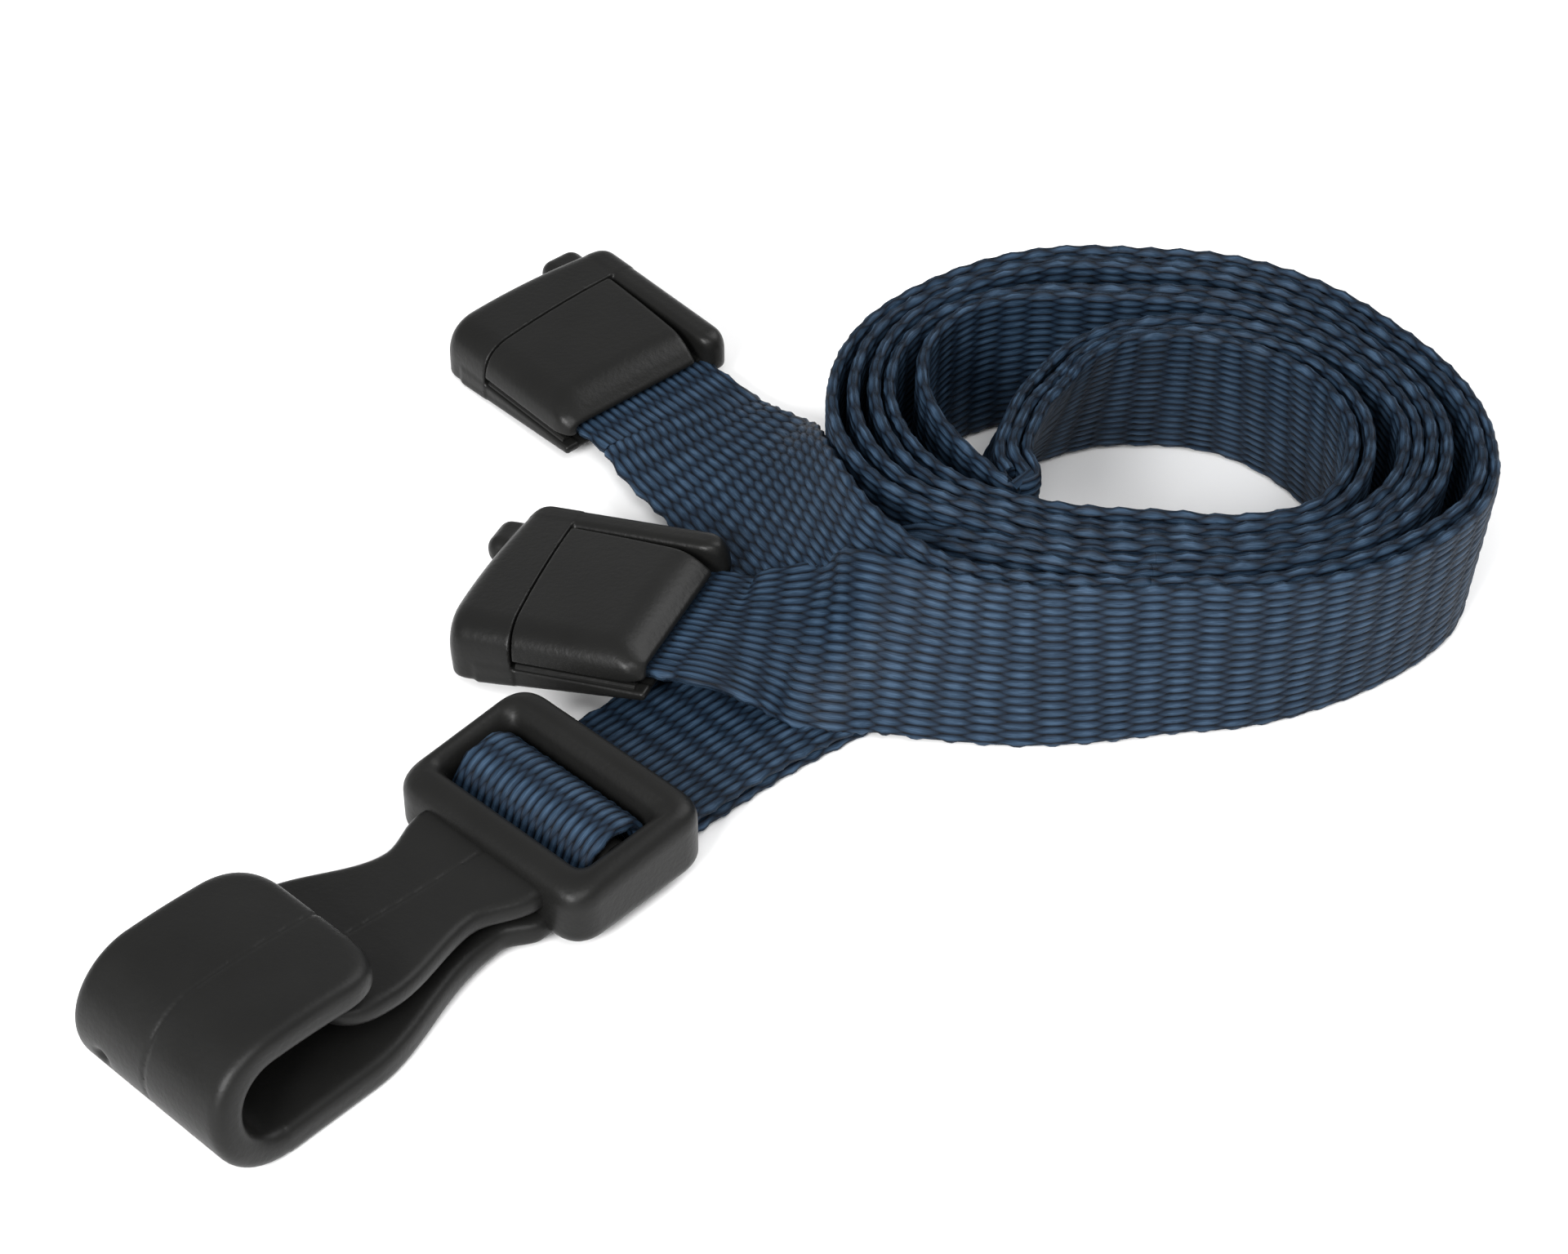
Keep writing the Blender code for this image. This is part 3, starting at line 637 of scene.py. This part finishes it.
def hook_tongue(u, v, w):
    """The springy gate from the frame's near bar to under the tip of the J."""
    share = np.clip((u - TONGUE_BEND) / (TONGUE_END - TONGUE_BEND), 0, 1)
    climb = 0.5 * eased(share, 0, 1) + 0.5 * (1 - (1 - share) ** (2 / 3))
    end_height = HOOK_HEIGHT - STRIP - TIP_SAG - TONGUE_GAP - TONGUE_THICKNESS / 2
    middle = TONGUE_ROOT + (end_height - TONGUE_ROOT) * climb
    side = TONGUE_SIDE - TONGUE_NARROWING * eased(u, TONGUE_BEND, TONGUE_WAIST)
    side = side + TONGUE_WIDENING * eased(u, TONGUE_WAIST, TONGUE_WIDEST)
    near_side = v + TONGUE_TAPER * eased(u, *TONGUE_TAPER_RUN) * (v > 0)
    outline = soft_max(np.abs(near_side) - side, u - TONGUE_END, TIP_CORNER)
    body = soft_max(np.abs(w - middle) - TONGUE_THICKNESS / 2, outline, TONGUE_ROUND)
    return np.maximum(body, TONGUE_START - u) + mould_line(v, TONGUE_MOULD_LINE) * (w > middle)


# Name, shape, low and high corner, grid cell, CAD node and body
HOOK_PIECES = (
    ("strap_frame", hook_frame, (-FRAME_REACH, -FRAME_SIDE, 0.0),
     (FRAME_REACH, FRAME_SIDE, FRAME_HEIGHT), 0.12, "hook_frame", "hook"),
    ("j_hook", hook_strip, (STRIP_START, -HOOK_SIDE, 0.0),
     (26.4, HOOK_SIDE, HOOK_HEIGHT), 0.14, "hook_shank", "hook"),
    ("gate_tongue", hook_tongue, (TONGUE_START, -HOOK_SIDE, 2.0),
     (TONGUE_END, HOOK_SIDE, 6.0), 0.13, "hook_tongue", "tongue"),
)
HALF_CELL = 0.11


def build_plastic():
    lid = skin(half_lid, (0.0, LID_FAR_EDGE, 0.6), (9.2, HALF_SIDE, HALF_HEIGHT), HALF_CELL)
    base = skin(half_base, (RAIL_END, -HALF_SIDE, 0.0), (13.4, HALF_SIDE, HALF_HEIGHT), HALF_CELL)
    for suffix, place in (("a", HALF_A_PLACE), ("b", HALF_B_PLACE)):
        piece = moulded(f"connector_{suffix}_lid", lid, place, SATIN_PLASTIC)
        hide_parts(f"half_{suffix}_lid")
        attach(piece, f"lid_{suffix}")
        piece = moulded(f"connector_{suffix}_base", base, place, SATIN_PLASTIC)
        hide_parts(f"half_{suffix}_base")
        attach(piece, f"half_{suffix}")
    for name, distance, low, high, cell, node, body in HOOK_PIECES:
        piece = moulded(name, skin(distance, low, high, cell), HOOK_PLACE, HOOK_PLASTIC)
        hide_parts(node)
        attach(piece, body)


# Materials

class Nodes:
    """A Principled material and short calls for the nodes that drive it."""

    def __init__(self, name):
        self.material = bpy.data.materials.new(name)
        self.material.use_nodes = True
        self.tree = self.material.node_tree
        self.shader = self.tree.nodes["Principled BSDF"]

    def put(self, value, socket):
        if isinstance(value, bpy.types.NodeSocket):
            self.tree.links.new(value, socket)
        else:
            socket.default_value = value

    def math(self, operation, first, second=0.0):
        node = self.tree.nodes.new("ShaderNodeMath")
        node.operation = operation
        self.put(first, node.inputs[0])
        self.put(second, node.inputs[1])
        return node.outputs[0]

    def ramp(self, value, stops):
        node = self.tree.nodes.new("ShaderNodeValToRGB")
        elements = node.color_ramp.elements
        while len(elements) < len(stops):
            elements.new(0.5)
        for element, (position, colour) in zip(elements, stops):
            element.position = position
            element.color = (*colour, 1.0)
        self.put(value, node.inputs[0])
        return node.outputs[0]

    def noise(self, vector, scale, detail=2.0):
        node = self.tree.nodes.new("ShaderNodeTexNoise")
        self.put(vector, node.inputs["Vector"])
        node.inputs["Scale"].default_value = scale
        node.inputs["Detail"].default_value = detail
        return node.outputs["Fac"]

    def combine(self, x, y, z=0.0):
        node = self.tree.nodes.new("ShaderNodeCombineXYZ")
        for value, socket in zip((x, y, z), node.inputs):
            self.put(value, socket)
        return node.outputs[0]

    def stretched(self, x, x_scale, y, y_scale):
        return self.combine(self.math("MULTIPLY", x, x_scale), self.math("MULTIPLY", y, y_scale))

    def bump(self, height, distance, strength):
        node = self.tree.nodes.new("ShaderNodeBump")
        node.inputs["Distance"].default_value = distance
        node.inputs["Strength"].default_value = strength
        self.put(height, node.inputs["Height"])
        self.put(node.outputs[0], self.shader.inputs["Normal"])

    def object_space(self):
        return self.tree.nodes.new("ShaderNodeTexCoord").outputs["Object"]


# Painted shade in the gaps between floats up to a painted highlight on the brightest threads
NAVY_SHADE_TO_HIGHLIGHT = ((0.05, (0.001, 0.002, 0.004)), (0.35, (0.0042, 0.0097, 0.0195)),
              (0.7, (0.012, 0.026, 0.0475)), (1.0, (0.031, 0.058, 0.098)))
CLOTH_SPECULAR, PLASTIC_SPECULAR = 0.15, 0.17
THREAD_RELIEF, GRAIN_RELIEF = 0.08, 0.03
GRAIN_SCALE, WEAR_SCALE = 3200.0, 240.0  # noise cells in a metre


def ribbon_cloth():
    """Navy polyester: the same floats as weave_height(), with painted shade between them and a
    painted highlight on their crowns, each a little different, with fine filaments along them."""
    nodes = Nodes("ribbon_cloth")
    calc = nodes.math
    uv = nodes.tree.nodes.new("ShaderNodeUVMap")
    uv.uv_map = "weave"
    split = nodes.tree.nodes.new("ShaderNodeSeparateXYZ")
    nodes.put(uv.outputs[0], split.inputs[0])
    along, across = split.outputs[0], split.outputs[1]
    back = calc("GREATER_THAN", across, (BACK_OFFSET - WIDTH) / RIB_PITCH)
    place = calc("SUBTRACT", across, calc("MULTIPLY", back, BACK_OFFSET / RIB_PITCH))
    shift = calc("MULTIPLY", back, BACK_SHIFT)
    first_row = calc("ADD", calc("MULTIPLY", place, RIB_PITCH / ROW_PITCH), shift)
    column = calc("FLOOR", along)
    height = 0.0
    for step in (-1.0, 0.0, 1.0):
        own = calc("ADD", column, step)
        reach = calc("DIVIDE", calc("SUBTRACT", calc("SUBTRACT", along, own), 0.5), FLOAT_REACH)
        row = calc("ADD", first_row, calc("MULTIPLY", calc("FLOORED_MODULO", own, 2.0), 0.5))
        nearest = calc("ROUND", row)
        spread = calc("DIVIDE", calc("SUBTRACT", row, nearest), FLOAT_SPREAD)
        square = calc("ADD", calc("MULTIPLY", reach, reach), calc("MULTIPLY", spread, spread))
        rise = calc("SQRT", calc("MAXIMUM", calc("SUBTRACT", 1.0, square), 0.0))
        height = calc("MAXIMUM", height, rise)
    fleck = nodes.noise(nodes.stretched(along, 0.9, across, 3.0), 1.7)
    filaments = nodes.noise(nodes.stretched(along, 1.3, across, 20.0), 1.6)
    patches = nodes.noise(nodes.stretched(along, 0.35, across, 0.5), 1.0)
    # Float height to colour: painted shade in the gaps and a painted highlight on the crowns,
    # varied at random by filaments, flecks and patches
    painted_light_with_noise = calc("POWER", height, 1.6)
    for variation, least, more in ((filaments, 0.5, 0.8), (fleck, 0.6, 0.8), (patches, 0.8, 0.4)):
        painted_light_with_noise = calc("MULTIPLY", painted_light_with_noise, calc("ADD", least, calc("MULTIPLY", variation, more)))
    nodes.put(nodes.ramp(painted_light_with_noise, NAVY_SHADE_TO_HIGHLIGHT), nodes.shader.inputs["Base Color"])
    roughness = calc("SUBTRACT", 0.75, calc("MULTIPLY", filaments, 0.3))
    nodes.put(roughness, nodes.shader.inputs["Roughness"])
    nodes.shader.inputs["Specular IOR Level"].default_value = CLOTH_SPECULAR
    nodes.bump(calc("ADD", height, calc("MULTIPLY", filaments, 0.5)), THREAD_RELIEF * MM, 0.7)
    return nodes.material


def black_plastic(name, shade, roughness):
    """Moulded black plastic with a fine spark-eroded grain and slight wear in its gloss."""
    nodes = Nodes(name)
    space = nodes.object_space()
    grain = nodes.noise(space, GRAIN_SCALE, 3.0)
    wear = nodes.noise(space, WEAR_SCALE, 4.0)
    base = nodes.ramp(wear, ((0.3, (shade, shade, shade * 0.95)),
                             (0.75, (shade * 1.3, shade * 1.3, shade * 1.24))))
    nodes.put(base, nodes.shader.inputs["Base Color"])
    gloss = nodes.math("ADD", roughness - 0.06, nodes.math("MULTIPLY", wear, 0.12))
    nodes.put(gloss, nodes.shader.inputs["Roughness"])
    nodes.shader.inputs["Specular IOR Level"].default_value = PLASTIC_SPECULAR
    nodes.bump(grain, GRAIN_RELIEF * MM, 0.6)
    return nodes.material


RIBBON_CLOTH = ribbon_cloth()
SATIN_PLASTIC = black_plastic("connector_plastic", 0.006, 0.36)
HOOK_PLASTIC = black_plastic("hook_plastic", 0.006, 0.42)


# Ribbon stretches. Each starts where another ends, at a seam hidden in the coil.

SEAM_B, SEAM_IN, SEAM_FOLD = 95.0, -96.0, FOLD - 16.0
COIL_START, FOLD_JOIN = -103.0, FOLD - 2.0
INNER_FOLD, OUTER_FOLD = 3.0, 5.0  # degrees that the two nested fold tips reach past FOLD
FINE_STEP = 4.0  # degrees between sections where a strand runs into the coil
LOWER_PLY_SHIFT = 0.9


def build_ribbons():
    """The stretches in the ribbon's own order, from half A to half B, with their lengths."""
    upper = raised(STRAP, UPPER_PLY - LOWER_PLY)
    lower = shifted(STRAP, LOWER_PLY_SHIFT)
    end_a = (half_sections(HALF_A_PLACE) + list(STRAND_A)
             + coil_sections(1, COIL_START, SEAM_IN, FINE_STEP))
    inside = (coil_sections(1, SEAM_IN, FOLD_JOIN) + fold_sections(1, 2, INNER_FOLD)
              + coil_sections(2, FOLD_JOIN, SEAM_IN))
    strap = (coil_sections(2, SEAM_IN, COIL_START, FINE_STEP) + list(reversed(upper))
             + loop_sections() + lower + coil_sections(3, COIL_START, SEAM_IN, FINE_STEP))
    lining = (coil_sections(3, SEAM_IN, FOLD) + fold_sections(3, 0, OUTER_FOLD)
              + coil_sections(0, FOLD, SEAM_FOLD))
    outside = coil_sections(0, SEAM_FOLD, SEAM_B)
    end_b = (half_sections(HALF_B_PLACE) + list(STRAND_B)
             + coil_sections(0, COIL_START, SEAM_B))
    # Name, sections, mesh columns to a rib and mesh rows to a row of floats
    stretches = (
        ("ribbon_end_a", end_a, 6, 5),
        ("ribbon_inner_plies", inside, 4, 3),
        ("ribbon_strap", strap, 6, 4),
        ("ribbon_lining", lining, 5, 3),
        ("ribbon_outer_turn", outside, 4, 3),
        ("ribbon_end_b", list(reversed(end_b)), 6, 5),
    )
    made = {}
    run = 0.0
    for name, sections, per_rib, per_row in stretches:
        made[name] = ribbon(name, sections, per_rib, per_row, run)
        run += made[name][1]
    return made


def dress_ribbons():
    made = build_ribbons()
    pieces = {name: piece for name, (piece, length) in made.items()}
    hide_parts("strand_to_half_a", "half_a_ribbon_end")
    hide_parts("strand_to_half_b", "half_b_ribbon_end")
    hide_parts("strap_lower_ply", "strap_upper_ply", "hook_loop")
    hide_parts("coil_outer_turn")
    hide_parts("coil_inner_turn")
    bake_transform(pieces["ribbon_end_a"])
    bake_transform(pieces["ribbon_end_b"])
    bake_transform(pieces["ribbon_strap"])
    supports = {"ribbon_end_a": ["half_a_base"], "ribbon_end_b": ["half_b_base"],
                "ribbon_strap": ["hook_crossbar"]}
    for name, (piece, length) in made.items():
        if name not in supports:
            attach(piece, "coil")
        print(name, "is", round(length, 1), "mm long")


# Stage, light and camera

FLOOR_COLOUR = (0.93, 0.93, 0.93)
FLOOR_REACH, FLOOR_DROP = 3.0, 0.02  # metres from the middle, and millimetres below zero
ROOM_LIGHT = 0.6
# Name, place and size in metres, and power in watts: all are aimed at the row frame's zero
LIGHTS = (
    ("key", (-0.17, -0.3, 0.22), 0.14, 2.1),
    ("front", (0.04, -0.2, 0.29), 0.16, 0.6),
    ("fill", (0.26, 0.2, 0.3), 0.25, 0.8),
)
CAMERA_ELEVATION, CAMERA_DISTANCE = 42.0, 206.0
LENS, SENSOR = 86.25, 36.0


def build_stage():
    floor_mesh = bpy.data.meshes.new("floor")
    bm = bmesh.new()
    bmesh.ops.create_grid(bm, x_segments=1, y_segments=1, size=FLOOR_REACH)
    bm.to_mesh(floor_mesh)
    bm.free()
    floor = bpy.data.objects.new("floor", floor_mesh)
    floor.location.z = -FLOOR_DROP * MM
    bpy.context.scene.collection.objects.link(floor)
    paper = Nodes("pale_floor")
    paper.shader.inputs["Base Color"].default_value = (*FLOOR_COLOUR, 1.0)
    paper.shader.inputs["Roughness"].default_value = 0.9
    floor_mesh.materials.append(paper.material)
    world = bpy.data.worlds.new("studio")
    world.use_nodes = True
    background = world.node_tree.nodes["Background"]
    background.inputs["Color"].default_value = (1.0, 1.0, 1.0, 1.0)
    background.inputs["Strength"].default_value = ROOM_LIGHT
    bpy.context.scene.world = world
    bpy.context.scene.view_settings.view_transform = "Standard"


def build_lights():
    for name, location, size, power in LIGHTS:
        data = bpy.data.lights.new(name, "AREA")
        data.shape = "SQUARE"
        data.size = size
        data.energy = power
        light = bpy.data.objects.new(name, data)
        light.location = location
        light.rotation_euler = (-Vector(location)).to_track_quat("-Z", "Y").to_euler()
        bpy.context.scene.collection.objects.link(light)


def build_camera():
    """Looks down from the front with a narrow lens."""
    elevation = math.radians(CAMERA_ELEVATION)
    data = bpy.data.cameras.new("camera")
    data.sensor_width = SENSOR
    data.lens = LENS
    data.clip_start = 0.01
    camera = bpy.data.objects.new("camera", data)
    back, up = CAMERA_DISTANCE * math.cos(elevation), CAMERA_DISTANCE * math.sin(elevation)
    camera.location = to_world((0.0, -back, up))
    camera.rotation_euler = (math.pi / 2 - elevation, 0.0, 0.0)
    bpy.context.scene.collection.objects.link(camera)
    bpy.context.scene.camera = camera


def dress_plastic():
    """The CAD nodes that stay to be seen: hinge beads and crossbar."""
    for name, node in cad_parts.items():
        if name.endswith("living_hinge") or name == "hook_crossbar":
            node.material_slots[0].material = SATIN_PLASTIC


build_stage()
build_lights()
build_camera()
dress_plastic()
build_plastic()
dress_ribbons()
